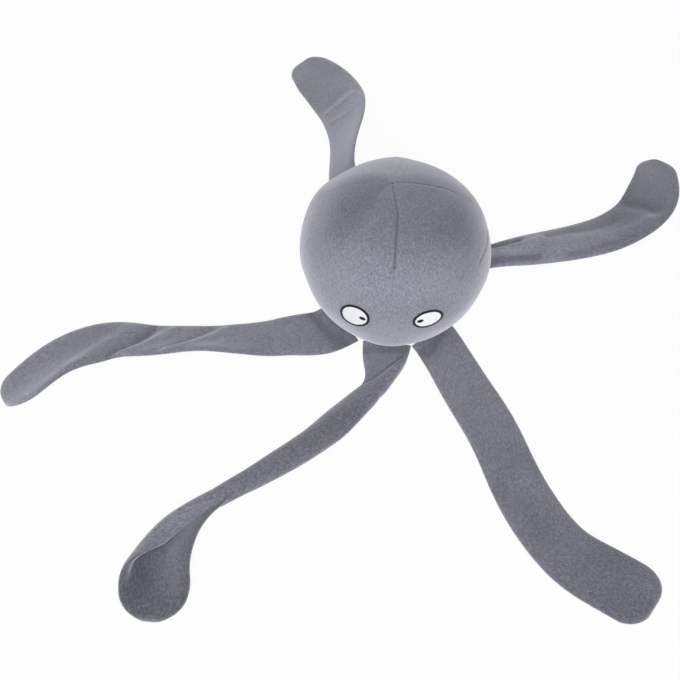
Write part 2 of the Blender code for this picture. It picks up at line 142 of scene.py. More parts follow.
def make_studio():
    scene = bpy.context.scene
    scene.view_settings.view_transform = "Standard"
    camera = bpy.data.objects.new("camera", bpy.data.cameras.new("camera"))
    camera.data.lens = CAMERA_LENS
    camera.data.sensor_width = 36
    camera.data.clip_start = 0.01
    camera.location = CAMERA_PLACE
    camera.rotation_euler = (radians(CAMERA_TILT), 0, 0)
    scene.collection.objects.link(camera)
    scene.camera = camera
    for lamp in LAMPS:
        light = bpy.data.lights.new(lamp.name, "AREA")
        light.shape = "DISK"
        light.size = lamp.size
        light.energy = lamp.power
        holder = bpy.data.objects.new(lamp.name, light)
        holder.location = lamp.place
        holder.rotation_euler = (-Vector(lamp.place)).to_track_quat("-Z", "Y").to_euler()
        scene.collection.objects.link(holder)
    scene.world = bpy.data.worlds.new("white_studio")
    tree = blank_tree(scene.world)
    daylight = add_node(tree, "ShaderNodeBackground", {}, {"Color": (1, 1, 1, 1), "Strength": DAYLIGHT})
    white = add_node(tree, "ShaderNodeBackground", {}, {"Color": (1, 1, 1, 1), "Strength": 1})
    mixed = add_node(tree, "ShaderNodeMixShader", {},
                     {0: seen_directly(tree), 1: daylight.outputs[0], 2: white.outputs[0]})
    add_node(tree, "ShaderNodeOutputWorld", {}, {"Surface": mixed.outputs[0]})


make_studio()


# ---------------------------------------------------------------------------------------------
# The head's cover: two shaped fleece panels, sewn together over the crown from side to side.
# Each has a dart from the crown, and the front one has one at each side. The seams draw it in.
# ---------------------------------------------------------------------------------------------
HEAD_RADIUS = 0.070
HEAD_HALF_HEIGHT = 0.0645
BASE_FLAT_RADIUS = 0.037
BASE_SEAM_HEIGHT = 0.0065
FACE_HEADING = 266
FRONT_PANEL_SPAN = 203
FLEECE = 0.0022
SEAM_GAP = 0.0003
SEAM_DEPTH = 0.0008
SEAM_HALF_WIDTH = 0.0009
DART_DEPTH = 0.0006
DART_HALF_WIDTH = 0.0008
CROWN_DART_TURN = -0.5
CROWN_DART_END = 38.5
SIDE_DART_LEVEL = 22
SIDE_DART_SPAN = 40
PUCKER_HALF_WIDTH = 0.0045
PUCKER_HEIGHT = 0.00045
LUMP_HEIGHT = 0.0007
# Where the fill pushes the cover out or leaves it slack: heading, level, height and half width in mm.
HEAD_BULGES = ((150, 21, 2.3, 24), (90, 38, 1.5, 11), (8, 8, -1.7, 24), (340, -14, -1.5, 22),
               (198, -12, -1.6, 20), (60, 30, -1.4, 22), (264, -35, 2.8, 20))
CROWN_SHIFT = (-0.0045, 0.0020)
CROWN_SHIFT_LEVEL = 68
CROWN_SEAM_GAP = 0.00004
BASE_TUCK_DEPTH = SEAM_DEPTH * 0.8
BASE_TUCK_HALF_WIDTH = 0.0012
SKIN_STEP = 0.00125
SEWN_STEP = 0.00045
SEWN_REACH = 0.008
HEAD_CENTRE = HEAD_HALF_HEIGHT * sqrt(1 - (BASE_FLAT_RADIUS / HEAD_RADIUS) ** 2)
BASE_SEAM_LEVEL = degrees(asin((BASE_SEAM_HEIGHT - HEAD_CENTRE) / HEAD_HALF_HEIGHT))

FLEECE_TONES = ((0.28, "42444D"), (0.5, "6C6E79"), (0.72, "9294A1"))
# Painted shade: the colour that seams, darts, fold valleys and the arms' roots under the head's edge are
# darkened towards.
FLEECE_PAINTED_SHADE = "3C3E46"
FLEECE_SHEEN = "F2F2FF"
PILE_TUFT = 0.0014
PILE_FIBRE = 0.0006
PILE_COMB = (1, 0.55, 1)
NAP_PATCH = 0.030
NAP_PATCH_SHARE = 0.12
# How far the painted light and shade move the pile's tone.
PAINTED_LIGHT_GAIN = 0.07


def speckle(tree, place, size, **settings):
    """Value of a noise whose spots are about this size, in metres."""
    return add_node(tree, "ShaderNodeTexNoise", {},
                    {"Vector": place, "Scale": 1 / size, **settings}).outputs["Fac"]


def make_fleece():
    """Polyester fleece, knitted and brushed: a soft short pile, dull when seen from straight on
    and pale where it is seen along the surface. Its tufts are about 2 mm across. The real fibres
    are too fine to show, so they are drawn as specks of 0.6 mm."""
    material = bpy.data.materials.new("brushed_polyester_fleece")
    tree = blank_tree(material)
    nap = add_node(tree, "ShaderNodeAttribute", {"attribute_name": "nap"}).outputs["Vector"]
    crease_painted_shade = add_node(tree, "ShaderNodeAttribute", {"attribute_name": "crease_painted_shade"}).outputs["Fac"]
    lean = add_node(tree, "ShaderNodeAttribute", {"attribute_name": "lean"}).outputs["Fac"]
    combed = add_node(tree, "ShaderNodeVectorMath", {"operation": "MULTIPLY"},
                      {0: nap, 1: PILE_COMB}).outputs[0]
    tufts = speckle(tree, combed, PILE_TUFT, Detail=3, Roughness=0.6)
    fibres = speckle(tree, combed, PILE_FIBRE, Detail=2, Roughness=0.6)
    patches = speckle(tree, nap, NAP_PATCH, Detail=2, Distortion=0.6)
    grain = add_node(tree, "ShaderNodeMix", {"data_type": "FLOAT"},
                     {0: 0.5, 2: tufts, 3: fibres}).outputs[0]
    shade = add_node(tree, "ShaderNodeMix", {"data_type": "FLOAT"},
                     {0: NAP_PATCH_SHARE, 2: grain, 3: patches}).outputs[0]
    # Painted light and shade: the pile's tone is raised where the surface is to look lit, and lowered
    # where it is to look shaded.
    painted_lit = add_node(tree, "ShaderNodeMath", {"operation": "MULTIPLY_ADD"},
                      {0: lean, 1: PAINTED_LIGHT_GAIN, 2: shade}).outputs[0]
    ramp = add_node(tree, "ShaderNodeValToRGB", {}, {"Fac": painted_lit})
    tones = ramp.color_ramp.elements
    tones.new(0.5)
    for tone, (position, colour) in zip(tones, FLEECE_TONES):
        tone.position, tone.color = position, hex_colour(colour)
    # Painted shade: the pile's colour is darkened in seams, darts, fold valleys and under the head's
    # edge.
    coloured = add_node(tree, "ShaderNodeMix", {"data_type": "RGBA"},
                        {0: crease_painted_shade, 6: ramp.outputs["Color"], 7: hex_colour(FLEECE_PAINTED_SHADE)}).outputs[2]
    relief = add_node(tree, "ShaderNodeBump", {},
                      {"Height": grain, "Strength": 0.55, "Distance": 0.0008}).outputs[0]
    shader = add_node(tree, "ShaderNodeBsdfPrincipled", {},
                      {"Base Color": coloured, "Roughness": 0.95, "Specular IOR Level": 0.15,
                       "Sheen Weight": 0.9, "Sheen Roughness": 0.55,
                       "Sheen Tint": hex_colour(FLEECE_SHEEN), "Normal": relief})
    add_node(tree, "ShaderNodeOutputMaterial", {}, {"Surface": shader.outputs[0]})
    return material


fleece = make_fleece()


def add_piece(name, points, faces, material, nap=None, crease_painted_shade=None, lean=None):
    """Make a piece from its points and faces. Its pile has a direction (nap), painted shade in its
    creases, and painted light and shade: paler where that is 1, and darker where it is -1."""
    mesh = bpy.data.meshes.new(name)
    mesh.from_pydata([tuple(point) for point in points], [], faces)
    if nap is not None:
        mesh.attributes.new("nap", "FLOAT_VECTOR", "POINT").data.foreach_set(
            "vector", np.array(nap, dtype=np.float32).ravel())
        for attribute, values in (("crease_painted_shade", crease_painted_shade), ("lean", lean)):
            given = np.zeros(len(points)) if values is None else np.array(values)
            mesh.attributes.new(attribute, "FLOAT", "POINT").data.foreach_set(
                "value", given.astype(np.float32))
    form = bmesh.new()
    form.from_mesh(mesh)
    bmesh.ops.recalc_face_normals(form, faces=form.faces)
    form.to_mesh(mesh)
    form.free()
    mesh.shade_smooth()
    mesh.materials.append(material)
    piece = bpy.data.objects.new(name, mesh)
    bpy.context.collection.objects.link(piece)
    return piece


def smooth(value, low, high):
    """0 below low, 1 above high, and a soft rise between them."""
    share = min(1, max(0, (value - low) / (high - low)))
    return share * share * (3 - 2 * share)


def ball_direction(heading, level):
    """Direction from the head's middle, by its heading and its level above the floor, in degrees."""
    turn, lift = radians(heading), radians(level)
    return Vector((cos(turn) * cos(lift), sin(turn) * cos(lift), sin(lift)))


def head_point(stand_off, heading, level):
    """Point over the stuffed ball. The fill makes it uneven, and the crown sits off centre."""
    turn, lift = radians(heading), radians(level)
    spot = ball_direction(heading, level)
    lump = LUMP_HEIGHT * noise.noise(spot * 2.3 + Vector((3.1, 7.7, 1.3)))
    for at_heading, at_level, height, half_width in HEAD_BULGES:
        off = (spot - ball_direction(at_heading, at_level)).length * HEAD_RADIUS * 1000
        lump += height / 1000 * exp(-(off / half_width) ** 2)
    lump *= smooth(level, -48, -20)
    shift = smooth(level, CROWN_SHIFT_LEVEL, 90)
    across = (HEAD_RADIUS + stand_off + lump) * cos(lift)
    x = across * cos(turn) + CROWN_SHIFT[0] * shift
    y = across * sin(turn) + CROWN_SHIFT[1] * shift
    if shift > 0:
        out = 1 - (x * x + y * y) / (HEAD_RADIUS + stand_off + lump) ** 2
        up = (HEAD_HALF_HEIGHT + stand_off + lump) * sqrt(max(0, out))
    else:
        up = (HEAD_HALF_HEIGHT + stand_off + lump) * sin(lift)
    return Vector((x, y, HEAD_CENTRE + up))


def dip(off, half_width):
    """How deep a sewn line draws the cloth in at a distance off it, from 1 on the line to 0."""
    return exp(-(off / half_width) ** 2)


def sewn_lines(turn, level, panel_turn, side_darts):
    """How far the seams and darts draw a head panel in, and how much painted shade darkens its pile
    along them.
    """
    lift = cos(radians(level)) * HEAD_RADIUS
    right_side = (turn > 0) == side_darts
    seam_shows = 0.1 + 0.5 * smooth(level, 48, 66) if right_side else 0.05
    drawn = dip(lift * radians(panel_turn - abs(turn)), SEAM_HALF_WIDTH) * seam_shows
    depth, shade = SEAM_DEPTH * drawn, 0.45 * drawn
    bulge = dip(lift * radians(panel_turn - abs(turn)) - PUCKER_HALF_WIDTH, PUCKER_HALF_WIDTH / 2) * 0.5
    off_crown = lift * abs(radians(turn - CROWN_DART_TURN))
    kept = smooth(level, CROWN_DART_END - 1.5, CROWN_DART_END + 3) * (1 if side_darts else 0.3)
    drawn = dip(off_crown, DART_HALF_WIDTH) * kept
    depth, shade = max(depth, DART_DEPTH * drawn), max(shade, 0.6 * drawn)
    bulge = max(bulge, kept * 0.6 * dip(off_crown - 0.0035, 0.0026))
    if side_darts:
        end_off = hypot(off_crown, HEAD_RADIUS * radians(level - CROWN_DART_END - 1))
        depth = max(depth, 0.0011 * dip(end_off, 0.0016))
        shade = max(shade, 0.85 * dip(end_off, 0.0012))
        off_side = HEAD_RADIUS * abs(radians(level - SIDE_DART_LEVEL))
        inside = panel_turn - abs(turn)
        kept = 1 - smooth(inside, SIDE_DART_SPAN - 3, SIDE_DART_SPAN + 1.5)
        kept *= smooth(inside, 4, 16) if right_side else 0.12
        drawn = dip(off_side, DART_HALF_WIDTH * 1.3) * kept
        depth, shade = max(depth, DART_DEPTH * 1.1 * drawn), max(shade, 0.45 * drawn)
        bulge = max(bulge, kept * dip(off_side - PUCKER_HALF_WIDTH, PUCKER_HALF_WIDTH / 1.6))
    return depth - PUCKER_HEIGHT * bulge * (1 - shade), shade


def stepped(low, high, step, spots, fine, reach):
    """Values from low to high: a step apart, and a fine step apart close by the spots."""
    values = [low]
    while values[-1] < high:
        nearest = min(abs(values[-1] - spot) for spot in spots)
        values.append(values[-1] + fine + (step - fine) * min(1, nearest / reach))
    stretch = (high - low) / (values[-1] - low)
    return [low + (value - low) * stretch for value in values]


def shell_faces(rows, across):
    """Faces of a thin closed shell: an outer sheet, an inner one and the wall between their rims."""
    inner = rows * across
    faces = []
    for row in range(rows - 1):
        for place in range(across - 1):
            spot = row * across + place
            faces.append((spot, spot + 1, spot + across + 1, spot + across))
            faces.append(tuple(inner + corner for corner in faces[-1]))
    rim = list(range(across))
    rim += [row * across + across - 1 for row in range(1, rows)]
    rim += [(rows - 1) * across + place for place in range(across - 2, -1, -1)]
    rim += [row * across for row in range(rows - 2, 0, -1)]
    for spot, following in zip(rim, rim[1:] + rim[:1]):
        faces.append((spot, following, inner + following, inner + spot))
    return faces


def painted_pile_light(turn, level, behind):
    """Painted light and shade on a head panel's pile, standing for its brushed sheen: the pile was
    brushed down over the forehead, and the other way at the sides, on the crown and behind it, so it is
    painted paler low on the forehead and behind the crown, and darker at the sides. Behind is the
    distance from the crown's seam on the back panel."""
    forehead = 1 + 0.5 * smooth(level, 5, 25) - 1.6 * smooth(level, 28, 58)
    forehead += 0.5 * smooth(level, 70, 88)
    forehead -= 1.8 * smooth(turn, 32, 70) * smooth(level, 10, 28) * (1 - smooth(level, 50, 66))
    forehead -= smooth(-turn, 30, 70) * (0.5 + smooth(level, 10, 30))
    return forehead + (2.3 - forehead) * smooth(behind, 0.001, 0.018)


def make_head_panel(name, middle_heading, span, side_darts):
    """One panel of the head, as a fleece shell that ends just short of the crown's middle."""
    step, fine, reach, gap_turn = (degrees(size / HEAD_RADIUS)
                                   for size in (SKIN_STEP, SEWN_STEP, SEWN_REACH, SEAM_GAP / 2))
    turns = stepped(-span / 2, span / 2, step, (-span / 2, CROWN_DART_TURN, span / 2), fine, reach)
    levels = stepped(BASE_SEAM_LEVEL + gap_turn, 89.5, step,
                     (BASE_SEAM_LEVEL, SIDE_DART_LEVEL, CROWN_DART_END), fine * 1.4, reach)
    away = ball_direction(middle_heading, 0) * CROWN_SEAM_GAP
    points, nap, crease_painted_shade, lean = [], [], [], []
    for layer in (0, -FLEECE):
        for level in levels:
            for turn in turns:
                depth, shade = sewn_lines(turn, level, span / 2, side_darts)
                off_base = HEAD_RADIUS * radians(level - BASE_SEAM_LEVEL)
                tuck = BASE_TUCK_DEPTH * dip(off_base, BASE_TUCK_HALF_WIDTH)
                point = head_point(layer - max(depth, tuck), middle_heading + turn, level) + away
                points.append(point)
                nap.append((point.x, point.z, point.y))
                # Painted shade along the seams and darts.
                crease_painted_shade.append(shade)
                off_seam = HEAD_RADIUS * cos(radians(level)) * radians(span / 2 - abs(turn))
                # Painted light and shade over the panel's pile.
                lean.append(painted_pile_light(turn, level, 0) if side_darts
                            else painted_pile_light(-turn * FRONT_PANEL_SPAN / span, level, off_seam))
    return add_piece(name, points, shell_faces(len(levels), len(turns)), fleece, nap, crease_painted_shade, lean)


for panel_name, heading, span, side_darts in (
        ("head_front_cover", FACE_HEADING, FRONT_PANEL_SPAN, True),
        ("head_back_cover", FACE_HEADING + 180, 360 - FRONT_PANEL_SPAN, False)):
    cover = make_head_panel(panel_name, heading, span, side_darts)
    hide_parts("head_front_panel" if side_darts else "head_back_panel")
    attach(cover, "head")


# ---------------------------------------------------------------------------------------------
# The base: a round fleece panel that the toy stands on, turned up at its edge and sewn to the
# head panels all round. The arms are caught in the same seam.
# ---------------------------------------------------------------------------------------------
BASE_TURNS = 180
BASE_RINGS = 16
BASE_RIM_RINGS = 10
BASE_RIM_SLOPE = 50
BASE_RIM_RISE = 0.75
BASE_CRUMPLE = 0.0002


def ring_faces(rings, around, first=0):
    """Faces between rings of points that follow one another, each ring closed on itself."""
    faces = []
    for low in range(first, first + (rings - 1) * around, around):
        for number in range(around):
            beside = (number + 1) % around
            faces.append((low + number, low + beside, low + around + beside, low + around + number))
    return faces


def make_base():
    floor_level = -degrees(asin(HEAD_CENTRE / HEAD_HALF_HEIGHT))
    top_level = BASE_SEAM_LEVEL - degrees(SEAM_GAP / 2 / HEAD_RADIUS)
    outer = [(BASE_FLAT_RADIUS * (ring / BASE_RINGS), 0) for ring in range(BASE_RINGS + 1)]
    for ring in range(1, BASE_RIM_RINGS + 1):
        level = radians(floor_level + (top_level - floor_level) * ring / BASE_RIM_RINGS)
        tuck = BASE_TUCK_DEPTH * dip(HEAD_RADIUS * (radians(top_level) - level), BASE_TUCK_HALF_WIDTH)
        outer.append(((HEAD_RADIUS - tuck) * cos(level),
                      HEAD_CENTRE + (HEAD_HALF_HEIGHT - tuck) * sin(level)))
    inner = [(max(0, radius - FLEECE * cos(radians(BASE_RIM_SLOPE)) * (radius > BASE_FLAT_RADIUS)),
              height + FLEECE * (1 if radius <= BASE_FLAT_RADIUS else BASE_RIM_RISE))
             for radius, height in outer]
    points, nap = [], []
    for profile in (outer, inner):
        for radius, height in profile:
            for number in range(BASE_TURNS):
                angle = 2 * pi * number / BASE_TURNS
                point = Vector((radius * cos(angle), radius * sin(angle), height))
                if radius > 0 and height <= FLEECE:
                    point.z += BASE_CRUMPLE * abs(noise.noise(point * 90))
                points.append(point)
                nap.append((point.x, point.y, point.z))
    shift = len(outer) * BASE_TURNS
    faces = ring_faces(len(outer), BASE_TURNS) + ring_faces(len(outer), BASE_TURNS, shift)
    last = shift - BASE_TURNS
    for number in range(BASE_TURNS):
        beside = (number + 1) % BASE_TURNS
        faces.append((last + number, last + beside, last + beside + shift, last + number + shift))
    base = add_piece("base_cover", points, faces, fleece, nap)
    form = bmesh.new()
    form.from_mesh(base.data)
    bmesh.ops.remove_doubles(form, verts=form.verts, dist=1e-6)
    bmesh.ops.recalc_face_normals(form, faces=form.faces)
    form.to_mesh(base.data)
    form.free()
    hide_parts("base_panel")
    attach(base, "head")


make_base()


# ---------------------------------------------------------------------------------------------
# The stuffing: loose white polyester fibre, pushed into the cover by hand until it is round.
# It is all hidden, and is lumpy where the cover isn't stretched over it.
# ---------------------------------------------------------------------------------------------
FILL_COLOUR = "F1F1EE"
FILL_PAINTED_SHADE = "D9DADA"
FILL_CLUMP = 0.012
FILL_CLEARANCE = 0.0035
FILL_HOLLOW = 0.0012
FILL_TURNS = 72
FILL_RINGS = 40


def make_fibre_fill():
    """Siliconised hollow polyester fibre: matt and white, with painted shade, soft and grey, in the
    hollows between its clumps.
    """
    material = bpy.data.materials.new("polyester_fibre_fill")
    tree = blank_tree(material)
    place = add_node(tree, "ShaderNodeTexCoord").outputs["Object"]
    clumps = speckle(tree, place, FILL_CLUMP, Detail=6, Roughness=0.7)
    # Painted shade: grey where the clumps' relief is low.
    colour = add_node(tree, "ShaderNodeMix", {"data_type": "RGBA"},
                      {0: clumps, 6: hex_colour(FILL_PAINTED_SHADE), 7: hex_colour(FILL_COLOUR)}).outputs[2]
    relief = add_node(tree, "ShaderNodeBump", {},
                      {"Height": clumps, "Strength": 0.6, "Distance": 0.002}).outputs[0]
    shader = add_node(tree, "ShaderNodeBsdfPrincipled", {},
                      {"Base Color": colour, "Roughness": 0.9, "Sheen Weight": 0.4, "Normal": relief})
    add_node(tree, "ShaderNodeOutputMaterial", {}, {"Surface": shader.outputs[0]})
    return material


def closed_faces(rings, around):
    """Faces of a closed form: a first point, rings of points that follow it, and a last point."""
    last = 1 + (rings - 1) * around
    faces = ring_faces(rings, around, first=1)
    for number in range(around):
        beside = (number + 1) % around
        faces += [(0, 1 + beside, 1 + number), (last + number, last + beside, last + around)]
    return faces


def make_stuffing():
    floor = FLEECE + SEAM_GAP
    lowest = -degrees(asin((HEAD_CENTRE - FLEECE - SEAM_GAP) / (HEAD_HALF_HEIGHT - FILL_CLEARANCE)))
    points = [Vector((0, 0, floor))]
    for ring in range(FILL_RINGS):
        level = lowest + (90 - lowest) * ring / FILL_RINGS
        for number in range(FILL_TURNS):
            spot = ball_direction(360 * number / FILL_TURNS, level)
            sunk = FILL_CLEARANCE + FILL_HOLLOW * abs(noise.fractal(spot * 4, 1.0, 2.0, 3))
            points.append(Vector((spot.x * (HEAD_RADIUS - sunk), spot.y * (HEAD_RADIUS - sunk),
                                  max(HEAD_CENTRE + spot.z * (HEAD_HALF_HEIGHT - sunk), floor))))
    points.append(Vector((0, 0, HEAD_CENTRE + HEAD_HALF_HEIGHT - FILL_CLEARANCE)))
    fill = add_piece("fibre_stuffing", points, closed_faces(FILL_RINGS, FILL_TURNS), make_fibre_fill())
    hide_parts("stuffing")
    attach(fill, "head")


make_stuffing()


# ---------------------------------------------------------------------------------------------
# The eyes: machine embroidery through the front panel before it was sewn. Each has a white fill
# in rows of flat stitches, a black satin-stitched rim, and a small black pupil near the nose side.
# ---------------------------------------------------------------------------------------------
# An outline is the distance of the rim's middle from the eye's, in mm, at equal turns from its right.
Eye = namedtuple("Eye", "heading level outline pupil pupil_tilt fill_tilt")
EYES = {
    "left_eye": Eye(244.2, 1.8, (10.2, 10.9, 10.1, 9.7, 10.1, 10.9, 10.1, 9.5), (6.1, 0.9), -14, 65),
    "right_eye": Eye(286.4, 3.2, (10.4, 9.1, 7.9, 8.7, 9.9, 9.1, 8.1, 8.5), (-5.5, 0.0), 12, 20),
}
RIM_WIDTH = 0.0017
PUPIL_HALF_WIDTH = 0.0024
PUPIL_HALF_HEIGHT = 0.0015
THREAD_WIDTH = 0.00042
ROW_SPACING = 0.00040
FILL_STITCH = 0.0032
STITCH_ARCH = 0.00042
STITCH_SLANT = 0.012
CORD_HALF_WIDTH = RIM_WIDTH * 0.46
CORD_FOOT = 0.00015
CORD_HEIGHT = 0.0006
UNDERLAY_SINK = 0.0004
WHITE_HEIGHT = 0.0004
RIM_HEIGHT = 0.00062
PUPIL_HEIGHT = 0.00085
EYE_TURNS = 72
THREAD_TWIST = 0.0005
WHITE_THREAD = "F2F4F8"
WHITE_THREAD_SHADE = "D9DCE3"
BLACK_THREAD = "090A0E"
BLACK_THREAD_LIGHT = "14171D"


def make_thread(name, colour, other_colour, roughness):
    """Trilobal polyester embroidery thread, 40 weight: it is 0.4 mm across, and its twisted
    filaments catch a soft line of light along each stitch."""
    material = bpy.data.materials.new(name)
    tree = blank_tree(material)
    place = add_node(tree, "ShaderNodeTexCoord").outputs["Object"]
    twist = speckle(tree, place, THREAD_TWIST, Detail=2)
    shade = add_node(tree, "ShaderNodeMix", {"data_type": "RGBA"},
                     {0: twist, 6: hex_colour(colour), 7: hex_colour(other_colour)}).outputs[2]
    relief = add_node(tree, "ShaderNodeBump", {},
                      {"Height": twist, "Strength": 0.3, "Distance": 0.0001}).outputs[0]
    shader = add_node(tree, "ShaderNodeBsdfPrincipled", {},
                      {"Base Color": shade, "Roughness": roughness, "Specular IOR Level": 0.3,
                       "Normal": relief})
    add_node(tree, "ShaderNodeOutputMaterial", {}, {"Surface": shader.outputs[0]})
    return material


white_thread = make_thread("white_embroidery_thread", WHITE_THREAD, WHITE_THREAD_SHADE, 0.6)
black_thread = make_thread("black_embroidery_thread", BLACK_THREAD, BLACK_THREAD_LIGHT, 0.5)


def make_stitch_tree():
    """Lay one arched stitch on each marked point, along its own direction, over its underlay."""
    tree = bpy.data.node_groups.new("laid_stitches", "GeometryNodeTree")
    for socket, kind in (("Underlay", "Geometry"), ("Thread Width", "Float"), ("Arch", "Float"),
                         ("Thread", "Material")):
        tree.interface.new_socket(socket, in_out="INPUT", socket_type="NodeSocket" + kind)
    tree.interface.new_socket("Embroidery", in_out="OUTPUT", socket_type="NodeSocketGeometry")
    given = add_node(tree, "NodeGroupInput").outputs
    marked, reach, face, lie = (
        add_node(tree, "GeometryNodeInputNamedAttribute", {"data_type": kind},
                 {"Name": attribute}).outputs["Attribute"]
        for attribute, kind in (("stitch", "BOOLEAN"), ("reach", "FLOAT"), ("face", "FLOAT_VECTOR"),
                                ("lie", "FLOAT_VECTOR")))
    line = add_node(tree, "GeometryNodeCurveQuadraticBezier", {},
                    {"Resolution": 5, "Start": (-2, 0, 0), "Middle": (0, 0, 0.9), "End": (2, 0, 0)})
    round_profile = add_node(tree, "GeometryNodeCurvePrimitiveCircle", {},
                             {"Resolution": 6, "Radius": 0.5})
    stitch = add_node(tree, "GeometryNodeCurveToMesh", {},
                      {"Curve": line.outputs[0], "Profile Curve": round_profile.outputs[0],
                       "Fill Caps": True})
    upright = add_node(tree, "FunctionNodeAlignRotationToVector", {"axis": "Z"}, {"Vector": face})
    turned = add_node(tree, "FunctionNodeAlignRotationToVector", {"axis": "X", "pivot_axis": "Z"},
                      {"Rotation": upright.outputs[0], "Vector": lie})
    quarter = add_node(tree, "ShaderNodeMath", {"operation": "MULTIPLY"}, {0: reach, 1: 0.25})
    size = add_node(tree, "ShaderNodeCombineXYZ", {},
                    {"X": quarter.outputs[0], "Y": given["Thread Width"], "Z": given["Arch"]})
    laid = add_node(tree, "GeometryNodeInstanceOnPoints", {},
                    {"Points": given["Underlay"], "Selection": marked, "Instance": stitch.outputs[0],
                     "Rotation": turned.outputs[0], "Scale": size.outputs[0]})
    realized = add_node(tree, "GeometryNodeRealizeInstances", {}, {"Geometry": laid.outputs[0]})
    underlay = add_node(tree, "GeometryNodeDeleteGeometry", {"domain": "POINT"},
                        {"Geometry": given["Underlay"], "Selection": marked})
    joined = add_node(tree, "GeometryNodeJoinGeometry")
    tree.links.new(realized.outputs[0], joined.inputs[0])
    tree.links.new(underlay.outputs[0], joined.inputs[0])
    rounded = add_node(tree, "GeometryNodeSetShadeSmooth", {}, {"Geometry": joined.outputs[0]})
    dyed = add_node(tree, "GeometryNodeSetMaterial", {},
                    {"Geometry": rounded.outputs[0], "Material": given["Thread"]})
    add_node(tree, "NodeGroupOutput", {}, {"Embroidery": dyed.outputs[0]})
    return tree


stitch_tree = make_stitch_tree()


def eye_point(eye, stand_off, across, up):
    """Point over the front panel, at a distance across and up from an eye's middle."""
    heading = eye.heading + degrees(across / (HEAD_RADIUS * cos(radians(eye.level))))
    return head_point(stand_off, heading, eye.level + degrees(up / HEAD_RADIUS))


def eye_radius(eye, angle):
    """Distance from an eye's middle to the middle of its rim, at an angle in radians."""
    count = len(eye.outline)
    place = angle / (2 * pi) * count % count
    spot, k = int(place), place % 1
    before, here, after, next_one = (eye.outline[(spot + step) % count] for step in (-1, 0, 1, 2))
    rise = (after - before) / 2 * k * (1 - k) ** 2 - (next_one - here) / 2 * k * k * (1 - k)
    return (here * (1 + 2 * k) * (1 - k) ** 2 + after * k * k * (3 - 2 * k) + rise) / 1000


def embroider(name, eye, outline, stitches, height, thread):
    """Stitches laid over a low padded patch. Each stitch is given by its two ends, across and up."""
    points = [eye_point(eye, height, *outline[0])]
    rings = ((0.35, height), (0.7, height), (0.93, height * 0.8), (1.0, height * 0.2),
             (1.0, -UNDERLAY_SINK), (0.5, -UNDERLAY_SINK))
    middle_across, middle_up = outline[0]
    for share, stand_off in rings:
        for across, up in outline[1:]:
            points.append(eye_point(eye, stand_off, middle_across + (across - middle_across) * share,
                                    middle_up + (up - middle_up) * share))
    points.append(eye_point(eye, -UNDERLAY_SINK, *outline[0]))
    faces = closed_faces(len(rings), len(outline) - 1)
    return finish_embroidery(name, eye, points, faces, stitches, height, thread)


def finish_embroidery(name, eye, points, faces, stitches, height, thread):
    """Add the stitches' points to an underlay, lay the thread on them, and fix the piece to the head."""
    laid = len(points)
    reach, lie, face = [0.0] * laid, [(1, 0, 0)] * laid, [(0, 0, 1)] * laid
    for (from_across, from_up), (to_across, to_up) in stitches:
        start = eye_point(eye, height, from_across, from_up)
        end = eye_point(eye, height, to_across, to_up)
        middle = eye_point(eye, height, (from_across + to_across) / 2, (from_up + to_up) / 2)
        above = eye_point(eye, height + 0.001, (from_across + to_across) / 2, (from_up + to_up) / 2)
        points.append(middle - (above - middle) * 0.12)
        reach.append((end - start).length)
        lie.append((end - start).normalized())
        face.append((above - middle).normalized())
    piece = add_piece(name, points, faces, thread)
    mesh = piece.data
    mesh.attributes.new("stitch", "BOOLEAN", "POINT").data.foreach_set(
        "value", [number >= laid for number in range(len(points))])
    mesh.attributes.new("reach", "FLOAT", "POINT").data.foreach_set("value", reach)
    for attribute, vectors in (("lie", lie), ("face", face)):
        mesh.attributes.new(attribute, "FLOAT_VECTOR", "POINT").data.foreach_set(
            "vector", [part for vector in vectors for part in vector])
    modifier = piece.modifiers.new("stitches", "NODES")
    modifier.node_group = stitch_tree
    sockets = {socket.name: socket.identifier for socket in stitch_tree.interface.items_tree
               if socket.in_out == "INPUT"}
    modifier[sockets["Thread Width"]] = THREAD_WIDTH
    modifier[sockets["Arch"]] = STITCH_ARCH
    modifier[sockets["Thread"]] = thread
    sewn = bpy.data.meshes.new_from_object(piece.evaluated_get(bpy.context.evaluated_depsgraph_get()))
    piece.modifiers.clear()
    piece.data = sewn
    piece.data.name = name
    bpy.data.meshes.remove(mesh)
    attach(piece, "head")
    return piece


def fill_stitches(eye, shrink):
    """Rows of stitches across an eye's white, each row set a third of a stitch along from the last."""
    tilt, stitches = radians(eye.fill_tilt), []
    reach = max(eye.outline) / 1000
    rows = int(reach / ROW_SPACING)

    def inside(across, up):
        return hypot(across, up) < eye_radius(eye, atan2(up, across)) - shrink

    for row in range(-rows, rows + 1):
        aside = row * ROW_SPACING
        along = -reach - (FILL_STITCH / 3 * (row % 3))
        while along < reach:
            spots = []
            for part in range(9):
                spot = along + FILL_STITCH * part / 8
                across = spot * cos(tilt) - aside * sin(tilt)
                up = spot * sin(tilt) + aside * cos(tilt)
                if inside(across, up):
                    spots.append((across, up))
            if len(spots) > 2:
                stitches.append((spots[0], spots[-1]))
            along += FILL_STITCH
    return stitches


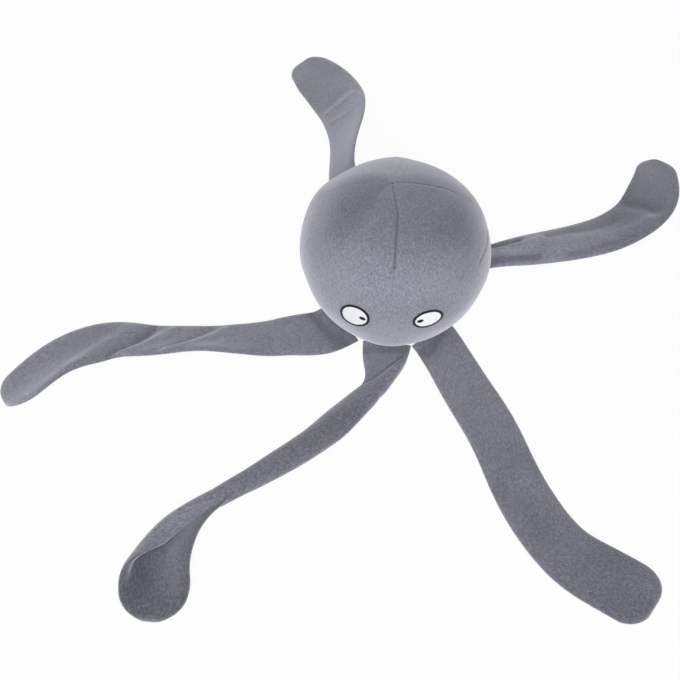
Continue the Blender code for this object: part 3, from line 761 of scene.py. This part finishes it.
def make_eye(name, eye):
    """An eye's white, then its rim as a round cord under slanting stitches, then its pupil."""
    turns = [2 * pi * number / EYE_TURNS for number in range(EYE_TURNS)]

    def rim_spot(out, turn):
        radius = eye_radius(eye, turn) + out
        return radius * cos(turn), radius * sin(turn)

    white_edge = [rim_spot(-RIM_WIDTH * 0.2, turn) for turn in turns]
    white = embroider(name + "_fill_stitches", eye, [(0, 0)] + white_edge,
                      fill_stitches(eye, RIM_WIDTH * 0.3), WHITE_HEIGHT, white_thread)
    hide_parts(name + "_white")

    profile = [(-CORD_HALF_WIDTH * cos(pi * step / 6), CORD_FOOT + CORD_HEIGHT * sin(pi * step / 6))
               for step in range(7)]
    profile += [(CORD_HALF_WIDTH, -UNDERLAY_SINK), (-CORD_HALF_WIDTH, -UNDERLAY_SINK)]
    rim_points = [eye_point(eye, stand_off, *rim_spot(out, turn))
                  for turn in turns for out, stand_off in profile]
    rim_faces = [tuple(corner % len(rim_points) for corner in face)
                 for face in ring_faces(EYE_TURNS + 1, len(profile))]
    count = round(2 * pi * sum(eye.outline) / len(eye.outline) / 1000 / (ROW_SPACING * 0.92))
    rim_stitches = []
    for number in range(count):
        turn = 2 * pi * number / count
        low, high = eye_radius(eye, turn) - RIM_WIDTH / 2, eye_radius(eye, turn) + RIM_WIDTH / 2
        rim_stitches.append(((low * cos(turn - STITCH_SLANT), low * sin(turn - STITCH_SLANT)),
                             (high * cos(turn + STITCH_SLANT), high * sin(turn + STITCH_SLANT))))
    rim = finish_embroidery(name + "_rim_stitches", eye, rim_points, rim_faces, rim_stitches,
                            RIM_HEIGHT, black_thread)
    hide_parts(name + "_rim")

    tilt = radians(eye.pupil_tilt)
    middle = (eye.pupil[0] / 1000, eye.pupil[1] / 1000)

    def pupil_spot(along, aside):
        return (middle[0] + along * cos(tilt) - aside * sin(tilt),
                middle[1] + along * sin(tilt) + aside * cos(tilt))

    pupil_edge = [pupil_spot(PUPIL_HALF_WIDTH * 0.9 * cos(turn), PUPIL_HALF_HEIGHT * 0.9 * sin(turn))
                  for turn in turns[::3]]
    pupil_stitches = []
    columns = int(PUPIL_HALF_WIDTH / ROW_SPACING)
    for column in range(-columns, columns + 1):
        along = column * ROW_SPACING
        aside = PUPIL_HALF_HEIGHT * sqrt(max(0.05, 1 - (along / PUPIL_HALF_WIDTH) ** 2))
        pupil_stitches.append((pupil_spot(along, -aside), pupil_spot(along, aside)))
    pupil = embroider(name + "_pupil_stitches", eye, [middle] + pupil_edge, pupil_stitches,
                      PUPIL_HEIGHT, black_thread)
    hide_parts(name + "_pupil")


for eye_name, eye in EYES.items():
    make_eye(eye_name, eye)


# ---------------------------------------------------------------------------------------------
# The arms: each is two long fleece panels sewn edge to edge and turned, with no filling, so it
# lies flat, rolls and creases. Its root is caught in the base seam, and its end is a round paddle.
# ---------------------------------------------------------------------------------------------
ARM_THICKNESS = 0.0052
ARM_ROOT_THICKNESS = 0.0026
ARM_SETTLE_LENGTH = 0.022
ARM_SEAM_NOTCH = 0.0003
ARM_LINE_STEP = 0.0011
ARM_EDGE_ROUNDING = 0.0062
ARM_EDGE_START = 14
ARM_FACE_POINTS = 30
ARM_EDGE_POINTS = 9
ARM_LEAST_HALF_WIDTH = 0.0012
ROLLED_EDGE = 0.0008
ROLL_THINNING = 0.6
# Painted highlight on the folds' ridges and painted shade in their valleys, per metre of height.
RIDGE_PAINTED_LIGHT = 320
VALLEY_SHADE = 220

# At its stations, shares of its length, an arm has a heading, a width in mm without the rolled edge
# of its seam, a roll, a curl, and the painted light and shade of its upper and under pile. A turnover
# is where its fold starts, ends and opens. A fold is its height, its half width and the spots it
# passes, along and aside, all in mm. A fold's ridge also gets painted light and its valley painted
# shade; the valleys close to the roots are painted shade under the head's edge, and some on the
# front-left arm are painted shade on its paddle's hollow and on light slivers of its fold.
Arm = namedtuple("Arm", "seam_heading length tip_radius stations headings widths rolls curls leans "
                        "under_leans turnovers folds")
ARMS = {
    "front_right_arm": Arm(
        305, 0.2545, 0.017, (0, 0.1, 0.28, 0.45, 0.6, 0.72, 0.84, 1),
        (306.5, 293, 294, 286, 293, 305, 326, 322),
        (35.5, 34.8, 36.7, 35.7, 37.3, 38.6, 42.5, 42.5), (0,) * 8, (0,) * 8,
        (0.9, 0.9, 0.4, -0.1, 0, -0.5, -1.0, -1.0), (0,) * 8, (),
        ((-2.6, 4.0, (10, -14), (8, -3), (4, 6)), (-1.4, 3.5, (17, -13), (12, -7)),
         (0.5, 9.0, (86, -14), (100, 12)), (-0.6, 8.0, (136, -14), (150, -4), (172, -1)),
         (0.5, 7.0, (184, -15), (192, 6)), (-0.7, 7.0, (214, 10), (236, 14), (240, -8)))),
    "right_arm": Arm(
        31, 0.2540, 0.019, (0, 0.12, 0.3, 0.5, 0.65, 0.8, 0.92, 1),
        (31, 21, 13, 17, 36, 64, 79, 81), (30.4, 26.1, 33.3, 35.6, 37.8, 42.4, 34.5, 25.0),
        (0,) * 8, (-20, -100, -55, -10, 12, 25, 30, 30), (0.8, 0.8, 1.5, 0.9, -0.2, -0.6, 0.3, 0.3),
        (0,) * 8, (),
        ((3.0, 1.6, (34, -1.4), (48, -2.2), (56, -3.4)),
         (2.4, 3.5, (60, -3), (67, -2), (76, 0), (86, 4)),
         (-2.6, 2.4, (34, 3.6), (56, 3.2), (68, 5)),
         (-2.6, 2.6, (34, -6.5), (50, -8.5), (64, -10), (78, -11)),
         (-1.3, 4.0, (84, 4), (109, 8), (135, 7), (156, 7)),
         (1.6, 5.0, (94, -7), (119, -3), (135, -4.5), (164, -8), (179, -10)),
         (-1.3, 3.5, (104, -13), (140, -12), (157, -14)), (-1.8, 7.0, (181, 14), (189, 4), (190, -7)))),
    "back_arm": Arm(
        106, 0.2625, 0.013, (0, 0.12, 0.26, 0.38, 0.5, 0.64, 0.76, 0.88, 1),
        (106, 113.5, 103, 88, 85, 97.5, 110, 121, 140),
        (32.0, 38.8, 31.0, 30.5, 33.8, 41.0, 49.0, 50.6, 36.0),
        (0, -20, -42, -48, -44, -26, -8, 0, 0), (0,) * 9,
        (0.4, 0.7, 1.4, 1.9, 2.1, 2.0, 1.1, 1.2, 1.4), (2.8,) * 9, (),
        ((0.7, 3.0, (176, 15), (183, 0), (192, -14)), (-0.4, 4.0, (184, 14), (192, 1), (200, -12)),
         (0.6, 2.8, (162, 13), (164, -2)))),
    "left_arm": Arm(
        215, 0.2635, 0.018, (0, 0.1, 0.2, 0.3, 0.4, 0.5, 0.6, 0.7, 0.85, 1),
        (215, 187, 191, 185, 181, 182.3, 174.6, 198, 228, 232),
        (41.0, 38.5, 32.6, 32.7, 32.2, 33.2, 36.2, 40.0, 38.8, 33.5),
        (0, 0, 0, 13, 20, 16, 12, 9, 14, 14), (0, 0, 0, 15, 25, 25, 15, 5, 20, 20),
        (0, 0.6, 0.9, 0.7, 0.6, 0.7, 0.6, 0, 0.5, 1.6), (0.5,) * 10, (),
        ((1.9, 6.5, (160, -13), (169, 0), (182, 8), (199, 15), (212, 17)),
         (-2.2, 4.0, (144, -13), (152, 1), (160, 11), (174, 17)),
         (2.0, 4.8, (127, -13), (133, -7), (147, 3), (161, 16)),
         (0.9, 9.0, (112, -12), (134, 6), (146, 16)), (-1.3, 3.5, (99, -10), (121, 5), (138, 15)),
         (1.9, 5.0, (83, -13), (97, -6), (113, 5), (129, 14)),
         (0.8, 9.0, (66, -12), (86, -2), (104, 12)), (0.7, 4.0, (224, -15), (241, -1)),
         (-2.6, 4.5, (22, -16), (16, -7), (13, 3), (10, 10), (8, 18)))),
    "front_left_arm": Arm(
        263, 0.2752, 0.014, (0, 0.06, 0.12, 0.18, 0.26, 0.36, 0.48, 0.6, 0.7, 0.8, 0.9, 1),
        (263, 259, 249, 227, 227.5, 221.5, 215, 214, 223, 244, 264, 266),
        (34.4, 33.6, 28.8, 31.0, 27.6, 25.2, 25.0, 23.4, 28.0, 42.0, 47.5, 34.5),
        (0,) * 12, (0, 0, 10, 30, 60, 80, 80, 60, 35, 25, 20, 15),
        (1.4, 1.1, 0.3, 0, 0, 0, -0.6, -1.2, -1.6, -1.1, -1.6, -2.0),
        (0.3, 0.3, 0, -0.6, -1.1, -1.1, -0.7, 0, 0.5, 0.8, 0.8, 0),
        ((-0.025, 0.354, 2, 3), (0.183, 1.122, 0.80, 0.98)),
        ((-2.0, 4.0, (8, -16), (6, -1), (4, 14)), (-4.5, 8.0, (250, -7), (270, 0)),
         (2.6, 6.0, (230, 14), (246, 16), (266, 18)), (-1.2, 6.0, (196, 3), (222, 3)),
         (-1.8, 2.6, (164, 13), (184, 13)), (-3.0, 4.0, (236, -14), (254, -17)))),
}
TURNOVER_RADIUS = 0.0036
SECTION_STEPS = 96


def read_along(stations, values, share):
    """Value at a share of an arm's length, on a smooth curve through the values at its stations."""
    last = len(stations) - 1
    place = max(spot for spot in range(last) if stations[spot] <= share or spot == 0)

    def slope(spot):
        before, after = max(0, spot - 1), min(last, spot + 1)
        return (values[after] - values[before]) / (stations[after] - stations[before])

    step = stations[place + 1] - stations[place]
    k = (share - stations[place]) / step
    rise = values[place] * (1 + 2 * k) * (1 - k) ** 2 + values[place + 1] * k * k * (3 - 2 * k)
    return rise + step * (slope(place) * k * (1 - k) ** 2 - slope(place + 1) * k * k * (1 - k))


def arm_outline(half_width, half_thickness):
    """Points round a flat arm's section, as distances aside and up, with 1 for those in the seam."""
    shoulder = min(ARM_EDGE_ROUNDING, half_width * 0.6)
    flat = max(half_width - shoulder, half_width * 0.02)
    angles = [radians(ARM_EDGE_START + (90 - ARM_EDGE_START) * number / ARM_EDGE_POINTS)
              for number in range(ARM_EDGE_POINTS)]
    edge = [(shoulder * cos(angle), half_thickness * sin(angle)) for angle in angles]
    top = [(flat + out, up, 0) for out, up in edge]
    for number in range(ARM_FACE_POINTS + 1):
        top.append((flat * (1 - 2 * number / ARM_FACE_POINTS), half_thickness, 0))
    top += [(-flat - out, up, 0) for out, up in reversed(edge)]
    notch = min(ARM_SEAM_NOTCH, half_width * 0.3)
    left_seam, right_seam = (half_width - notch, 0, 1), (notch - half_width, 0, 1)
    return [left_seam] + top + [right_seam] + [(aside, -up, 0) for aside, up, _ in reversed(top)]


def fold_height(folds, along, aside):
    """Height of an arm's creases and ridges, in metres, at a distance along it and points aside."""
    height = np.zeros(len(aside))
    for rise, half_width, *spots in folds:
        nearest = np.full(len(aside), 1.0)
        for (from_along, from_aside), (to_along, to_aside) in zip(spots, spots[1:]):
            run, cross = to_along - from_along, to_aside - from_aside
            ahead, beside = along * 1000 - from_along, aside * 1000 - from_aside
            share = np.clip((ahead * run + beside * cross) / (run ** 2 + cross ** 2), 0, 1)
            off = np.hypot(ahead - share * run, beside - share * cross)
            nearest = np.minimum(nearest, 1 - np.exp(-(off / half_width) ** 2))
        height += rise / 1000 * (1 - nearest)
    return height


def lay_across(arm, share, half_width, aside, up):
    """Bend the flat section of an arm to the way it lies there: rolled, curled, and folded over.
    A turnover is a soft fold that travels from the arm's left edge to its right one, and opens."""
    reach = np.linspace(-1, 1, SECTION_STEPS + 1)
    curl = read_along(arm.stations, arm.curls, share)
    slopes = np.radians(read_along(arm.stations, arm.rolls, share) + curl * reach)
    for start, end, opens, opened in arm.turnovers:
        edge = 1 + 1.6 * TURNOVER_RADIUS / half_width
        spot = edge - (share - start) / (end - start) * 2 * edge
        open_share = 0.9 * smooth(share, opens, opened)
        half_turn = TURNOVER_RADIUS * (1 + 2.5 * open_share) * pi / 2 / half_width
        turned = np.clip((reach - spot + half_turn) / (2 * half_turn), 0, 1)
        turned = open_share + (1 - open_share) * turned * turned * (3 - 2 * turned)
        slopes += pi * turned
    stride = 2 * half_width / SECTION_STEPS
    runs = [np.concatenate(([0], np.cumsum((part[1:] + part[:-1]) / 2 * stride)))
            for part in (np.cos(slopes), np.sin(slopes))]
    slope = np.interp(aside / half_width, reach, slopes)
    across = np.interp(aside / half_width, reach, runs[0]) - np.sin(slope) * up
    height = np.interp(aside / half_width, reach, runs[1]) + np.cos(slope) * up
    middle = (across.max() + across.min()) / 2 if arm.turnovers else runs[0][SECTION_STEPS // 2]
    return across - middle, height - height.min()


def make_arm(name, arm):
    """Skin an arm on rings along its line, from the seam that holds it to the tip of its paddle."""
    turn, lift = radians(arm.seam_heading), radians(BASE_SEAM_LEVEL)
    seat = ARM_ROOT_THICKNESS / 2 + SEAM_GAP
    out, up = (HEAD_RADIUS + seat) * cos(lift), (HEAD_HALF_HEIGHT + seat) * sin(lift)
    root = Vector((out * cos(turn), out * sin(turn), HEAD_CENTRE + up))
    steps = ceil(arm.length / ARM_LINE_STEP)
    step = arm.length / steps
    distances = [step * number for number in range(steps)]
    distances[-1:] = [arm.length - step * part for part in (1, 0.62, 0.34, 0.15, 0.04)]
    place, travelled = root.copy(), 0
    points, nap, crease_painted_shade, lean = [], [], [], []
    hinge = Vector(next(joint["pos_m"] for joint in frame["joints"] if joint["name"] == name + "_bend"))
    nearest = arm.length
    for distance in distances:
        while travelled < distance - 1e-9:
            stride = min(step / 2, distance - travelled)
            halfway = (travelled + stride / 2) / arm.length
            heading = radians(read_along(arm.stations, arm.headings, halfway))
            place = place + Vector((cos(heading), sin(heading), 0)) * stride
            travelled += stride
        share = distance / arm.length
        heading = radians(read_along(arm.stations, arm.headings, share))
        short = max(0, arm.tip_radius - (arm.length - distance))
        half_width = (read_along(arm.stations, arm.widths, share) / 2000 + ROLLED_EDGE - arm.tip_radius
                      + sqrt(max(0, arm.tip_radius ** 2 - short ** 2)))
        half_width = max(half_width, ARM_LEAST_HALF_WIDTH)
        settled = min(1, distance / ARM_SETTLE_LENGTH)
        half_thickness = (ARM_ROOT_THICKNESS + (ARM_THICKNESS - ARM_ROOT_THICKNESS) * settled) / 2
        left = min(1, (arm.length - distance) / (ARM_THICKNESS * 0.55))
        half_thickness *= 0.15 + 0.85 * sqrt(left * (2 - left))
        # Where an arm is rolled onto its edge, its two panels hang closer together.
        roll = radians(read_along(arm.stations, arm.rolls, share))
        half_thickness *= 1 - ROLL_THINNING * abs(sin(roll))
        outline = np.array(arm_outline(half_width, half_thickness))
        aside, up, seam = outline[:, 0], outline[:, 1], outline[:, 2]
        lifted = fold_height(arm.folds, distance, aside) * min(1, 4 * (1 - share))
        up = up + np.where(up > 0, np.maximum(lifted * up / half_thickness, -up * 0.8), 0)
        across, height = lay_across(arm, share, half_width, aside, up)
        height = height + (root.z - half_thickness) * (1 - smooth(settled, 0, 1))
        sideways = Vector((-sin(heading), cos(heading), 0))
        # Painted light and shade of the upper and under pile here.
        leans = [read_along(arm.stations, values, share) for values in (arm.leans, arm.under_leans)]
        for number in range(len(aside)):
            points.append((place.x + sideways.x * across[number], place.y + sideways.y * across[number],
                           height[number]))
            nap.append((aside[number], distance, outline[number][1]))
            under = int(outline[number][1] < 0)
            # Painted light on the folds' ridges, added to the arm's painted light and shade.
            lean.append(leans[under] + RIDGE_PAINTED_LIGHT * max(0, lifted[number]))
            # Painted shade in the folds' valleys, along the seam, and under the head's edge near the
            # root.
            crease_painted_shade.append(max(0.15 * seam[number], min(0.45, -VALLEY_SHADE * min(0, lifted[number]))))
        if hypot(place.x - hinge.x, place.y - hinge.y) < nearest:
            nearest = hypot(place.x - hinge.x, place.y - hinge.y)
            bend_spot, bend_heading = place.copy(), heading
    count = len(outline)
    faces = ring_faces(len(distances), count)
    faces += [tuple(range(count)), tuple(range((len(distances) - 1) * count, len(distances) * count))]
    piece = add_piece(name + "_panels", points, faces, fleece, nap, crease_painted_shade, lean)
    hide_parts(*(name + ending
                         for ending in ("_root_top", "_root_bottom", "_end_top", "_end_bottom")))
    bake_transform(piece)


for arm_name, arm in ARMS.items():
    make_arm(arm_name, arm)
